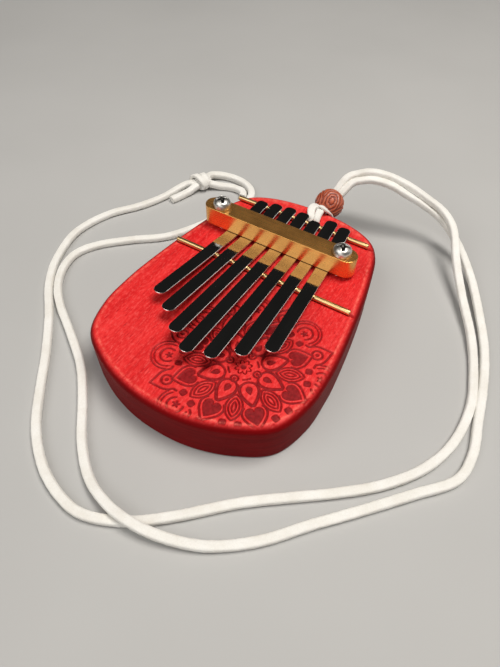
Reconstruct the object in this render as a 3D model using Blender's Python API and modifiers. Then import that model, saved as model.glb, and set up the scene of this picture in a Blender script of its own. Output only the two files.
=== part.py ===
"""Pocket kalimba with a neck lanyard.

A red-stained solid wooden board lies flat on its back. Seven spring-steel
tines cross two brass bridge rods and are clamped between them by a brass
pressure bar with two pan-head screws. A suede lace is looped through a
slanting hole at the rear edge, runs doubled through a carved wooden bead and
lies on the table around the board, its ends tied in a knot.

Frame: +Z up out of the board, +Y towards the rear (lanyard) end, origin on the
back face under the middle of the board. Lengths below are in millimetres.
"""
import math

import bmesh
import bpy
from mathutils import Matrix, Vector

MM = 0.001

# ---- driving dimensions -------------------------------------------------
BOARD_T = 16.2            # board thickness
TOP_ROUND = 2.4           # rounding of the top edge
BACK_ROUND = 0.8          # rounding of the back edge
# half outline of the board, rear middle to front middle (x, y)
HALF_OUTLINE = [(0, 52.3), (14.4, 50.8), (24.8, 46.5), (30, 39.6), (33, 28.8),
                (35.9, 12.9), (38.2, -5.2), (38.9, -16.2), (38.3, -28.4),
                (34, -40), (24, -46.9), (12, -51.1), (0, -52.3)]

BAR_Y = 24.0              # pressure bar: middle, length, depth, height
BAR_X = -2.2
BAR_L = 59.8
BAR_D = 7.0
BAR_LOW = BOARD_T + 1.75
BAR_H = 7.1
SCREW_X = (-25.5, 22.1)
HEAD_D = 6.4
HEAD_H = 3.1
SHANK_D = 3.2
SCREW_DEPTH = 11.0        # screw length below the board's top

ROD_D = 1.9
ROD_SINK = 0.1            # depth of the rods below the board's top
FRONT_ROD = (8.1, -34.7, 33.7)    # y, left and right end
REAR_ROD = (40.8, -28.7, 26.1)

TINE_W = 4.6
TINE_T = 0.7
PITCH = 6.0               # spacing under the bar
TINE_TURN = (3.9, 2.3, 0.75, -0.57, -1.89, -3.21, -4.53)   # fan, degrees
TINE_MID_X = -0.92
KEY_RISE = 5.0            # upward slope of the free ends, degrees
FREE_LENGTH = (28.4, 33.2, 39.2, 43.9, 41.8, 36.1, 30.1)
OVERHANG = (1.0, 2.3, 3.2, 3.1, 0.9, 4.3, 3.2)   # behind the rear rod
CLEAR = 0.12              # gap between touching metal parts
SPLIT = 0.3               # gap between a tine's clamped and free lengths

# The lanyard's plan was drawn about a point a little behind the middle, with
# the board turned: `laid` brings its points into the board's frame.
PLAN_TURN = math.radians(1.6)
PLAN_SHIFT = (0.2, -1.2)
HOLE_TOP = Vector((3.3, 45.3, BOARD_T))
HOLE_REAR = Vector((3.5, 53.5, 6.0))
HOLE_R = 2.6

BEAD = Vector((3.95, 59.16, 15.55))
BEAD_R = 5.75
BEAD_BORE_R = 3.3
BEAD_AXIS = Vector((0.15, 0.96, 0.22)).normalized()
LACE_R = 1.15
FLOOR = LACE_R + 0.2      # height of a lace's middle on the table
KNOT = Vector((-57.9, 60.3, 3.3))
KNOT_R = Vector((3.7, 3.7, 3.0))

# ---- scene --------------------------------------------------------------
for ob in list(bpy.data.objects):
    bpy.data.objects.remove(ob, do_unlink=True)
parts = bpy.data.collections.new("kalimba")
cutters = bpy.data.collections.new("kalimba_cutters")
bpy.context.scene.collection.children.link(parts)
bpy.context.scene.collection.children.link(cutters)


def material(name, colour, roughness, metallic):
    m = bpy.data.materials.new(name)
    m.use_nodes = True
    b = m.node_tree.nodes["Principled BSDF"]
    b.inputs["Base Color"].default_value = (*colour, 1.0)
    b.inputs["Roughness"].default_value = roughness
    b.inputs["Metallic"].default_value = metallic
    m.diffuse_color = (*colour, 1.0)
    return m


RED_WOOD = material("red_stained_wood", (0.52, 0.02, 0.03), 0.45, 0.0)
BRASS = material("brass", (0.78, 0.52, 0.22), 0.25, 1.0)
SPRING_STEEL = material("polished_spring_steel", (0.40, 0.40, 0.39), 0.15, 1.0)
BRIGHT_STEEL = material("nickel_plated_steel", (0.75, 0.74, 0.72), 0.15, 1.0)
BEAD_WOOD = material("carved_bead_wood", (0.30, 0.09, 0.05), 0.5, 0.0)
SUEDE = material("white_suede", (0.80, 0.78, 0.74), 0.95, 0.0)


def add(name, data, mat, where=parts):
    ob = bpy.data.objects.new(name, data)
    where.objects.link(ob)
    if mat is not None:
        data.materials.clear()
        data.materials.append(mat)
    return ob


def as_mesh(ob, name, mat):
    """Turn a curve object into a welded mesh object of the same place."""
    bpy.context.view_layer.update()
    dg = bpy.context.evaluated_depsgraph_get()
    me = bpy.data.meshes.new_from_object(ob.evaluated_get(dg))
    me.name = name
    bm = bmesh.new()
    bm.from_mesh(me)
    bmesh.ops.remove_doubles(bm, verts=bm.verts, dist=1e-6)
    bmesh.ops.recalc_face_normals(bm, faces=bm.faces)
    # one face for each flat side, so that only its outer edges get rounded
    bmesh.ops.dissolve_limit(bm, angle_limit=math.radians(0.05), use_dissolve_boundaries=False,
                             verts=bm.verts, edges=bm.edges)
    bm.to_mesh(me)
    bm.free()
    where = ob.matrix_world.copy()
    bpy.data.objects.remove(ob, do_unlink=True)
    new = add(name, me, mat)
    new.matrix_world = where
    return new


def plate(name, outline, half_thickness, mat):
    """Flat closed outline (x, y in mm) thickened both ways along local Z."""
    cu = bpy.data.curves.new(name, "CURVE")
    cu.dimensions = "2D"
    cu.fill_mode = "BOTH"
    cu.extrude = half_thickness * MM
    sp = cu.splines.new("POLY")
    sp.points.add(len(outline) - 1)
    for p, (x, y) in zip(sp.points, outline):
        p.co = (x * MM, y * MM, 0, 1)
    sp.use_cyclic_u = True
    return as_mesh(add(name + "_outline", cu, mat), name, mat)


def bevel_edges(ob, pick, width, segments):
    """Round the edges of a mesh for which pick(a, b) is true (mm, local)."""
    bm = bmesh.new()
    bm.from_mesh(ob.data)
    es = [e for e in bm.edges if pick(e.verts[0].co / MM, e.verts[1].co / MM)]
    bmesh.ops.bevel(bm, geom=es, offset=width * MM, offset_type="OFFSET",
                    segments=segments, profile=0.5, affect="EDGES",
                    clamp_overlap=True)
    bm.to_mesh(ob.data)
    bm.free()


def cylinder(name, a, b, r, sides, mat=None, where=cutters):
    """Cylinder from point a to point b (mm)."""
    a, b = Vector(a), Vector(b)
    me = bpy.data.meshes.new(name)
    bm = bmesh.new()
    bmesh.ops.create_cone(bm, cap_ends=True, segments=sides, radius1=r * MM,
                          radius2=r * MM, depth=(b - a).length * MM)
    bm.to_mesh(me)
    bm.free()
    ob = add(name, me, mat, where)
    q = Vector((0, 0, 1)).rotation_difference((b - a).normalized())
    ob.matrix_world = Matrix.Translation((a + b) / 2 * MM) @ q.to_matrix().to_4x4()
    if where is cutters:
        ob.hide_render = True
        ob.display_type = "WIRE"
    return ob


def cut(ob, cutter):
    m = ob.modifiers.new("cut_" + cutter.name, "BOOLEAN")
    m.operation = "DIFFERENCE"
    m.solver = "EXACT"
    m.object = cutter


def spline_points(pts, per):
    """Smooth curve through the given points, with `per` steps to each span."""
    pts = [Vector(p) for p in pts]
    ends = [2 * pts[0] - pts[1]] + pts + [2 * pts[-1] - pts[-2]]
    out = []
    for i in range(1, len(ends) - 2):
        p0, p1, p2, p3 = ends[i - 1:i + 3]
        for k in range(per):
            t = k / per
            out.append(0.5 * (2 * p1 + (p2 - p0) * t
                              + (2 * p0 - 5 * p1 + 4 * p2 - p3) * t * t
                              + (3 * p1 - p0 - 3 * p2 + p3) * t ** 3))
    out.append(pts[-1])
    return out


def even(path, n):
    """n points at even distances along a dense path."""
    run = [0.0]
    for a, b in zip(path, path[1:]):
        run.append(run[-1] + (b - a).length)
    out, j = [], 0
    for k in range(n):
        s = run[-1] * k / (n - 1)
        while j < len(run) - 2 and run[j + 1] < s:
            j += 1
        d = run[j + 1] - run[j]
        out.append(path[j].lerp(path[j + 1], (s - run[j]) / d if d else 0.0))
    return out


def laid(p):
    """Point of the lanyard's plan in the board's frame."""
    p = Vector(p)
    c, s = math.cos(PLAN_TURN), math.sin(PLAN_TURN)
    return Vector((c * p.x - s * p.y + PLAN_SHIFT[0], s * p.x + c * p.y + PLAN_SHIFT[1], p.z))


def smooth(ob, angle=35):
    ob.data.shade_smooth()
    ob.data.set_sharp_from_angle(angle=math.radians(angle))


# ---- board --------------------------------------------------------------
right = [(p.x, p.y) for p in even(spline_points(
    [(-x, y, 0) for x, y in HALF_OUTLINE[1:2]] + [(x, y, 0) for x, y in HALF_OUTLINE]
    + [(-x, y, 0) for x, y in HALF_OUTLINE[-2:-1]], 12)[12:-12], 49)]
outline = right + [(-x, y) for x, y in reversed(right[1:-1])]
board = plate("board", outline, BOARD_T / 2, RED_WOOD)
half = BOARD_T / 2
bevel_edges(board, lambda a, b: a.z > half - 0.01 and b.z > half - 0.01, TOP_ROUND, 5)
bevel_edges(board, lambda a, b: a.z < 0.01 - half and b.z < 0.01 - half, BACK_ROUND, 2)
board.location.z = half * MM
smooth(board)


ROD_Z = BOARD_T - ROD_SINK + ROD_D / 2
for tag, rod in (("front", FRONT_ROD), ("rear", REAR_ROD)):
    groove = cylinder(tag + "_groove", (-60, rod[0], ROD_Z), (60, rod[0], ROD_Z), ROD_D / 2 + 0.3, 24)
    cut(board, groove)
    bar = cylinder(tag + "_bridge_rod", (rod[1], rod[0], ROD_Z), (rod[2], rod[0], ROD_Z),
                   ROD_D / 2, 20, BRASS, parts)
    bv = bar.modifiers.new("ends", "BEVEL")
    bv.width = 0.25 * MM
    bv.segments = 2
    bv.limit_method = "ANGLE"
    bv.angle_limit = math.radians(60)
    smooth(bar, 50)

run = (HOLE_REAR - HOLE_TOP)
cut(board, cylinder("lanyard_hole", laid(HOLE_TOP - run), laid(HOLE_REAR + run), HOLE_R, 24))

# ---- pressure bar -------------------------------------------------------
end = BAR_D / 2
straight = BAR_L / 2 - end
stadium = []
for k in range(17):
    a = math.radians(-90 + 180 * k / 16)
    stadium.append((straight + end * math.cos(a), end * math.sin(a)))
for k in range(17):
    a = math.radians(90 + 180 * k / 16)
    stadium.append((-straight + end * math.cos(a), end * math.sin(a)))
pressure_bar = plate("pressure_bar", stadium, BAR_H / 2, BRASS)
bevel_edges(pressure_bar, lambda a, b: abs(a.z) > BAR_H / 2 - 0.01 and abs(a.z - b.z) < 0.01, 0.3, 2)
pressure_bar.location = (BAR_X * MM, BAR_Y * MM, (BAR_LOW + BAR_H / 2) * MM)
smooth(pressure_bar)

# ---- screws -------------------------------------------------------------
BAR_TOP = BAR_LOW + BAR_H
for side, sx in zip(("left", "right"), SCREW_X):
    sy = BAR_Y
    for target, low, high, r in ((pressure_bar, BAR_LOW - 2, BAR_TOP + 2, SHANK_D / 2 + 0.35),
                                 (board, BOARD_T - SCREW_DEPTH - 0.6, BOARD_T + 2, SHANK_D / 2 + 0.3)):
        cut(target, cylinder("%s_%s_screw_hole" % (target.name, side), (sx, sy, low),
                             (sx, sy, high), r, 20))
    # turned profile from the crown of the head down to the point
    rim = 1.0
    crown = HEAD_H - rim
    prof = []
    for k in range(7):
        a = math.radians(90 - 90 * k / 6)
        prof.append((HEAD_D / 2 * math.cos(a), rim + crown * math.sin(a)))
    low = -(BAR_TOP + CLEAR - (BOARD_T - SCREW_DEPTH))
    prof += [(HEAD_D / 2, 0.0), (SHANK_D / 2, 0.0), (SHANK_D / 2, low + 2.2), (0.0, low)]
    prof[0] = (0.0, prof[0][1])
    me = bpy.data.meshes.new("screw_profile_" + side)
    bm = bmesh.new()
    vs = [bm.verts.new((x * MM, 0, z * MM)) for x, z in prof]
    for a, b in zip(vs, vs[1:]):
        bm.edges.new((a, b))
    bm.to_mesh(me)
    bm.free()
    screw = add("screw_" + side, me, BRIGHT_STEEL)
    screw.location = (sx * MM, sy * MM, (BAR_TOP + CLEAR) * MM)
    sm = screw.modifiers.new("turn", "SCREW")
    sm.steps = sm.render_steps = 28
    sm.use_merge_vertices = True
    sm.merge_threshold = 0.00001
    sm.use_normal_calculate = True
    # cross recess: two crossed tapering blades
    turn = 40 if side == "left" else 25
    for k in (0, 1):
        bm = bmesh.new()
        bmesh.ops.create_cone(bm, cap_ends=True, segments=4, radius1=0.55 * MM * math.sqrt(2),
                              radius2=0.85 * MM * math.sqrt(2), depth=2.4 * MM)
        bmesh.ops.rotate(bm, verts=bm.verts, matrix=Matrix.Rotation(math.radians(45), 3, "Z"))
        bmesh.ops.scale(bm, verts=bm.verts, vec=(2.15, 0.62, 1))
        bmesh.ops.rotate(bm, verts=bm.verts, matrix=Matrix.Rotation(math.radians(turn + 90 * k), 3, "Z"))
        cme = bpy.data.meshes.new("recess")
        bm.to_mesh(cme)
        bm.free()
        blade = add("recess_%s_%d" % (side, k), cme, None, cutters)
        blade.location = (sx * MM, sy * MM, (BAR_TOP + CLEAR + HEAD_H + 0.1) * MM)
        blade.hide_render = True
        blade.display_type = "WIRE"
        cut(screw, blade)

# ---- tines --------------------------------------------------------------
REST_Z = ROD_Z + ROD_D / 2 + CLEAR           # underside of a tine on the rods
UNDER_BAR = BAR_LOW - CLEAR - TINE_T          # underside of a tine at the bar


def ease(t):
    t = max(0.0, min(1.0, t))
    return t * t * (3 - 2 * t)


for i in range(7):
    n = i + 1
    turn = math.radians(TINE_TURN[i])
    along = Vector((math.sin(turn), math.cos(turn), 0))
    root = Vector((TINE_MID_X + PITCH * (i - 3), BAR_Y, 0))

    def reach(rod):
        """Distance along the tine from under the bar to a bridge rod."""
        return (rod[0] - root.y) / along.y

    s_front, s_rear = reach(FRONT_ROD), reach(REAR_ROD)
    pivot = root + along * s_front + Vector((0, 0, REST_Z + TINE_T / 2))
    stand = Matrix((along, Vector((0, 0, 1)), along.cross(Vector((0, 0, 1))))).transposed()
    place = Matrix.Translation(pivot * MM) @ stand.to_4x4()

    # clamped length: side view bent down under the bar, local x along the tine
    s_end = s_rear + OVERHANG[i]
    steps = 22
    low = []
    for k in range(steps + 1):
        s = s_front + SPLIT / 2 + (s_end - s_front - SPLIT / 2) * k / steps
        if s < 0:
            z = UNDER_BAR + (REST_Z - UNDER_BAR) * ease((-s - 3.2) / (-s_front - 3.2))
        else:
            z = UNDER_BAR + (REST_Z - UNDER_BAR) * ease((s - 3.2) / (s_rear - 3.2))
        low.append((s - s_front, z - pivot.z))
    side_view = low + [(x, z + TINE_T) for x, z in reversed(low)]
    fixed = plate("tine_%d_clamped" % n, side_view, TINE_W / 2, SPRING_STEEL)
    tail = s_end - s_front
    bevel_edges(fixed, lambda a, b: a.x > tail - 0.01 and b.x > tail - 0.01 and abs(a.z - b.z) < 0.01, 1.7, 5)
    fixed.matrix_world = place
    smooth(fixed)

    # free length: straight strip with a rounded tip, pivoting on the front rod
    L = FREE_LENGTH[i]
    up = math.tan(math.radians(KEY_RISE))
    side_view = [(-SPLIT / 2, -TINE_T / 2 + up * SPLIT / 2), (-SPLIT / 2, TINE_T / 2 + up * SPLIT / 2),
                 (-L, TINE_T / 2 + up * L), (-L, -TINE_T / 2 + up * L)]
    key = plate("tine_%d_key" % n, side_view, TINE_W / 2, SPRING_STEEL)
    bevel_edges(key, lambda a, b: a.x < 0.01 - L and b.x < 0.01 - L and abs(a.z - b.z) < 0.01, 2.1, 6)
    key.matrix_world = place
    smooth(key)

# ---- bead ---------------------------------------------------------------
me = bpy.data.meshes.new("bead")
bm = bmesh.new()
bmesh.ops.create_uvsphere(bm, u_segments=28, v_segments=16, radius=BEAD_R * MM)
bm.to_mesh(me)
bm.free()
bead = add("bead", me, BEAD_WOOD)
bore_in, bore_out = laid(BEAD - BEAD_AXIS * 12), laid(BEAD + BEAD_AXIS * 12)
bead.matrix_world = (Matrix.Translation(laid(BEAD) * MM)
                     @ Vector((0, 0, 1)).rotation_difference(bore_out - bore_in).to_matrix().to_4x4())
cut(bead, cylinder("bead_bore", bore_in, bore_out, BEAD_BORE_R, 20))
smooth(bead)

# ---- lanyard ------------------------------------------------------------


def lace(name, pts, radius=LACE_R):
    cu = bpy.data.curves.new(name, "CURVE")
    cu.dimensions = "3D"
    cu.bevel_depth = radius * MM
    cu.bevel_resolution = 2
    cu.use_fill_caps = True
    sp = cu.splines.new("POLY")
    sp.points.add(len(pts) - 1)
    for p, v in zip(sp.points, pts):
        p.co = (*laid(v) * MM, 1)
    return add(name, cu, SUEDE)


def at_knot(p):
    """Point just outside the knot, on the way from p to the knot's middle."""
    d = Vector(p) - KNOT
    k = math.sqrt(sum((d[j] / KNOT_R[j]) ** 2 for j in range(3)))
    return KNOT + d / k + d.normalized() * 0.35


F = FLOOR
hole_dir = (HOLE_REAR - HOLE_TOP).normalized()
side = Vector((1, 0, 0))
bead_side = BEAD_AXIS.cross(Vector((0, 0, 1))).normalized()


def threaded(off):
    """From inside the hole, up over the rear edge and through the bead."""
    return ([HOLE_TOP + hole_dir * d + side * off for d in (4.8, 2.4, 0.5)]
            + [Vector((3.3 + off, 45.75, 16.95)), Vector((2.75 + 1.16 * off, 47.2, 17.75)),
               Vector((2.2 + 1.36 * off, 49.4, 17.85)), Vector((2.1 + 1.36 * off, 51.4, 17.75)),
               Vector((2.6 + 1.2 * off, 53.0, 16.95)), Vector((3.15 + 0.98 * off, 54.3, 15.55))]
            + [BEAD + BEAD_AXIS * d + bead_side * off for d in (-2.8, 0.0, 2.6, 6.4)])


A_ROUTE = [(5.7, 70.6, 21.2), (9, 73.4, 22.6), (13.8, 74.9, 24.2), (20.6, 76.1, 24.1), (28.7, 77.4, 21.9),
           (36.7, 78.6, 18.2), (44.7, 78, 15), (51, 72.5, 12.4), (57, 60.4, 7.8), (64, 47.4, 4.4),
           (71.7, 32.4, 2.2), (76.7, 17, F), (78.8, 4, F), (77.6, -10, F), (72.7, -22.2, F),
           (64, -33, F), (53.7, -41.6, F), (43.4, -49, F), (31.1, -58, F), (18.3, -69.4, F),
           (8, -77, F), (-3.3, -81.6, F), (-12.8, -81, F), (-23.6, -76.6, F), (-34, -68.4, F),
           (-43.2, -57, F), (-51.3, -46, F), (-62, -33.2, F), (-72.6, -22, F), (-79.6, -11, F),
           (-84.2, 3, F), (-83.8, 13.1, F), (-79.8, 24.1, F), (-72.8, 33.8, F), (-67.7, 44.4, F),
           (-64.4, 55.4, 1.9)]
B_ROUTE = [(8.45, 69.5, 20.35), (12.05, 71.6, 21.8), (16.6, 72.75, 22.7), (22.9, 73.7, 22.1), (29.2, 75, 19.4),
           (36.4, 77.2, 15.8), (43.6, 77.8, 12.4), (50, 76.2, 8.8), (56.4, 70.8, 6), (63.6, 60.6, 4),
           (70.4, 47.2, 2.3),
           (76.7, 31.4, F), (80.2, 16, F), (82.2, 1, F), (83.6, -11, F), (81.6, -21.4, F),
           (72.6, -31.2, F), (61.7, -42.6, F), (51, -53.4, F), (41, -64, F), (29.5, -72.2, 1.7),
           (18, -76.4, 3.2), (7.5, -77.6, 4.3), (-2, -76, 3.2), (-10.5, -72.2, 1.7), (-19.4, -64.6, F),
           (-28, -54.4, F), (-37.5, -44.4, F), (-50, -35.4, F), (-62, -27.4, F), (-69.6, -20.4, F),
           (-74.6, -12, F), (-75.8, -3, F), (-71.2, 5.6, F), (-61.5, 14.8, F), (-51.5, 22.8, F),
           (-44.9, 32.6, F), (-39.6, 44, F), (-35.9, 52.7, F), (-33.9, 60.3, F), (-35.2, 66.6, F),
           (-39.8, 71, F), (-46.2, 72.7, F), (-52.6, 72, 1.5), (-57, 68.7, 2.2)]
for tag, off, line in (("a", -1.25, A_ROUTE), ("b", 1.25, B_ROUTE)):
    start = threaded(off)
    last = at_knot(Vector(line[-1]) + Vector((0, 0, 0.7)))
    dense = spline_points(start + [Vector(p) for p in line] + [last], 10)
    head = 10 * (len(start) - 1)
    pts = even(dense[:head + 1], 23) + even(dense[head:], 46)[1:]
    lace("lanyard_strand_" + tag, pts)

bight = [HOLE_TOP + hole_dir * 6.8, HOLE_TOP + hole_dir * 10.6, Vector((3.7, 54.3, 4.7)), Vector((5.1, 54.6, 5.3)),
         Vector((6.7, 54.3, 7.6)), Vector((7.3, 54.15, 10.4)), Vector((7.3, 54.1, 13.2)), Vector((7.1, 53.75, 15.2)),
         Vector((6.7, 52.7, 16.5)), Vector((6.2, 51.4, 17.0))]
lace("lanyard_bight", even(spline_points(bight, 8), 22), 0.55)

tail = [at_knot((-58.6, 55.8, 2.6)), Vector((-59.8, 53.0, F + 0.3)), Vector((-61.6, 48.4, F)), Vector((-63.2, 44.4, F))]
lace("lanyard_tail_short", even(spline_points(tail, 6), 6))
tail = [at_knot((-53, 61.9, 2.6)), Vector((-50, 63.7, F + 0.3)), Vector((-45.4, 65.6, F)), Vector((-41, 66, F)),
        Vector((-37.9, 64.9, F)), Vector((-36.9, 61.8, F))]
lace("lanyard_tail_long", even(spline_points(tail, 6), 11))

me = bpy.data.meshes.new("lanyard_knot")
bm = bmesh.new()
bmesh.ops.create_uvsphere(bm, u_segments=16, v_segments=10, radius=1.0)
bmesh.ops.scale(bm, verts=bm.verts, vec=KNOT_R * MM)
bm.to_mesh(me)
bm.free()
knot = add("lanyard_knot", me, SUEDE)
knot.location = laid(KNOT) * MM
smooth(knot)
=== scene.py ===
"""Looks of the pocket kalimba: finished surfaces, cords and materials.

Everything is in the part's own frame: +Z up out of the board, +Y towards the
lanyard end, origin under the middle of the board. Lengths below are in
millimetres and become metres where a mesh is made.
"""
import math

import bmesh
import bpy
import numpy as np
from mathutils import Matrix, Vector


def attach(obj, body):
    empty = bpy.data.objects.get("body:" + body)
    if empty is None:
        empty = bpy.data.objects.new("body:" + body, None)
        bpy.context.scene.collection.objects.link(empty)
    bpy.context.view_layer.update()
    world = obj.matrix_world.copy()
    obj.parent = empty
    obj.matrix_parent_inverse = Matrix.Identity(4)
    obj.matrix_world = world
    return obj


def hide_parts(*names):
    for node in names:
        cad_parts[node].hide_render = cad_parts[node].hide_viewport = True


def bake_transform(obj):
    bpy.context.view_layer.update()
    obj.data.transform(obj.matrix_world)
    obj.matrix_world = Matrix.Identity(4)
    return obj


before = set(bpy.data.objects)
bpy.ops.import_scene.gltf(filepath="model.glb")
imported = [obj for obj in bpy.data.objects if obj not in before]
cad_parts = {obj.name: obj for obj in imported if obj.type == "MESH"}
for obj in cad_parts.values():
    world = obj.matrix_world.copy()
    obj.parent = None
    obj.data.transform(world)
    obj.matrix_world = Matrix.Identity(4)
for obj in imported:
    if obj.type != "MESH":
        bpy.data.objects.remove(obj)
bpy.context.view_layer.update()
MM = 0.001

# ---- sizes, as the part has them ----------------------------------------
BOARD_T = 16.2
TOP_ROUND = 2.4
BACK_ROUND = 0.8
HALF_OUTLINE = [(0, 52.3), (14.4, 50.8), (24.8, 46.5), (30, 39.6), (33, 28.8),
                (35.9, 12.9), (38.2, -5.2), (38.9, -16.2), (38.3, -28.4),
                (34, -40), (24, -46.9), (12, -51.1), (0, -52.3)]
BAR_Y, BAR_X, BAR_L, BAR_D = 24.0, -2.2, 59.8, 7.0
BAR_LOW, BAR_H = BOARD_T + 1.75, 7.1
BAR_TOP = BAR_LOW + BAR_H
SCREWS = [(-25.5, BAR_Y), (22.1, BAR_Y)]
HEAD_D, HEAD_H, SHANK_D, SCREW_DEPTH = 6.4, 3.1, 3.2, 11.0
ROD_D = 1.9
ROD_Z = BOARD_T - 0.1 + ROD_D / 2
FRONT_ROD = (8.1, -34.7, 33.7)
REAR_ROD = (40.8, -28.7, 26.1)
TINE_W, TINE_T, PITCH = 4.6, 0.7, 6.0
TINE_TURN = (3.9, 2.3, 0.75, -0.57, -1.89, -3.21, -4.53)
FREE_LENGTH = (28.4, 33.2, 39.2, 43.9, 41.8, 36.1, 30.1)
OVERHANG = (1.0, 2.3, 3.2, 3.1, 0.9, 4.3, 3.2)
CLEAR = 0.12
# the lanyard's plan is drawn with the board turned: `laid` brings it into the frame
PLAN_TURN, PLAN_SHIFT = math.radians(1.6), (0.2, -1.2)
HOLE_TOP = np.array((3.3, 45.3, BOARD_T))
HOLE_REAR = np.array((3.5, 53.5, 6.0))
HOLE_R = 2.6
BEAD = np.array((3.95, 59.16, 15.55))
BEAD_R, BORE_R = 5.75, 3.3
BEAD_AXIS = np.array((0.15, 0.96, 0.22)) / np.linalg.norm((0.15, 0.96, 0.22))
KNOT = np.array((-57.9, 60.3, 3.3))
KNOT_R = np.array((3.7, 3.7, 3.0))
F = 1.35

# engraved rosette: middle, turn and depth
ROSE = np.array((15.29, -27.42))
ROSE_TURN = math.radians(-92.2)
ROSE_DEPTH = 0.52


# ---- small tools ---------------------------------------------------------
def smoothstep(lo, hi, x):
    t = np.clip((np.asarray(x, float) - lo) / (hi - lo), 0, 1)
    return t * t * (3 - 2 * t)


def laid(p):
    """Points of the lanyard's plan in the board's frame."""
    p = np.asarray(p, float)
    c, q = math.cos(PLAN_TURN), math.sin(PLAN_TURN)
    x, y, z = p[..., 0], p[..., 1], p[..., 2]
    return np.stack([c * x - q * y + PLAN_SHIFT[0], q * x + c * y + PLAN_SHIFT[1], z], -1)


def catmull(pts, per, closed=False):
    """Smooth curve through points, with `per` steps to each span."""
    p = np.asarray(pts, float)
    if closed:
        e = np.vstack([p[-1], p, p[0], p[1]])
    else:
        e = np.vstack([2 * p[0] - p[1], p, 2 * p[-1] - p[-2]])
    t = (np.arange(per) / per)[:, None]
    out = []
    for i in range(1, len(e) - 2):
        a, b, c, d = e[i - 1:i + 3]
        out.append(0.5 * (2 * b + (c - a) * t + (2 * a - 5 * b + 4 * c - d) * t ** 2
                          + (3 * b - a - 3 * c + d) * t ** 3))
    if not closed:
        out.append(p[-1:])
    return np.vstack(out)


def even(path, step=None, n=None):
    """Points at even distances along a dense path."""
    run = np.concatenate([[0], np.cumsum(np.linalg.norm(np.diff(path, axis=0), axis=1))])
    if n is None:
        n = max(2, int(round(run[-1] / step)) + 1)
    s = np.linspace(0, run[-1], n)
    return np.stack([np.interp(s, run, path[:, k]) for k in range(path.shape[1])], 1), s


def wobble(seed, s, scale, amp):
    """Repeatable slow noise along a length s."""
    rng = np.random.RandomState(seed)
    out = np.zeros_like(s, dtype=float)
    for k in range(4):
        out += np.sin(s / scale * (1 + 0.83 * k) * 2 * math.pi + rng.uniform(0, 6.28)) / (k + 1.3)
    return amp * out


def put(name, verts, faces, mats, index=None, angle=40):
    """Mesh object from points in mm, with its materials and smooth shading."""
    me = bpy.data.meshes.new(name)
    me.from_pydata((np.asarray(verts, float) * MM).tolist(), [], faces)
    for m in mats:
        me.materials.append(m)
    if index is not None:
        me.polygons.foreach_set("material_index", np.asarray(index, np.int32))
    me.validate()
    me.shade_smooth()
    if angle is not None:
        me.set_sharp_from_angle(angle=math.radians(angle))
    me.update()
    ob = bpy.data.objects.new(name, me)
    bpy.context.scene.collection.objects.link(ob)
    return ob


def point_values(ob, name, values):
    at = ob.data.attributes.new(name, "FLOAT", "POINT")
    at.data.foreach_set("value", np.asarray(values, np.float32))


def ring_faces(rows, n, first=0, closed=True):
    """Quads of `rows` rings with n points each."""
    out = []
    for k in range(rows - 1):
        a = first + k * n
        for j in range(n if closed else n - 1):
            j2 = (j + 1) % n
            out.append((a + j, a + n + j, a + n + j2, a + j2))
    return out


def cylinder(name, a, b, r, sides):
    a, b = Vector(a), Vector(b)
    me = bpy.data.meshes.new(name)
    bm = bmesh.new()
    bmesh.ops.create_cone(bm, cap_ends=True, segments=sides, radius1=r * MM, radius2=r * MM,
                          depth=(b - a).length * MM)
    q = Vector((0, 0, 1)).rotation_difference((b - a).normalized())
    bmesh.ops.transform(bm, verts=bm.verts, matrix=Matrix.Translation((a + b) / 2 * MM) @ q.to_matrix().to_4x4())
    bm.to_mesh(me)
    bm.free()
    ob = bpy.data.objects.new(name, me)
    bpy.context.scene.collection.objects.link(ob)
    return ob


def carve(ob, cutters):
    """Cut closed shapes out of a closed mesh and keep the result."""
    for c in cutters:
        m = ob.modifiers.new("cut", "BOOLEAN")
        m.operation = "DIFFERENCE"
        m.solver = "MANIFOLD"
        m.object = c
    bpy.context.view_layer.update()
    dg = bpy.context.evaluated_depsgraph_get()
    me = bpy.data.meshes.new_from_object(ob.evaluated_get(dg))
    old = ob.data
    ob.modifiers.clear()
    ob.data = me
    me.name = old.name
    bpy.data.meshes.remove(old)
    for c in cutters:
        m = c.data
        bpy.data.objects.remove(c, do_unlink=True)
        bpy.data.meshes.remove(m)


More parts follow.
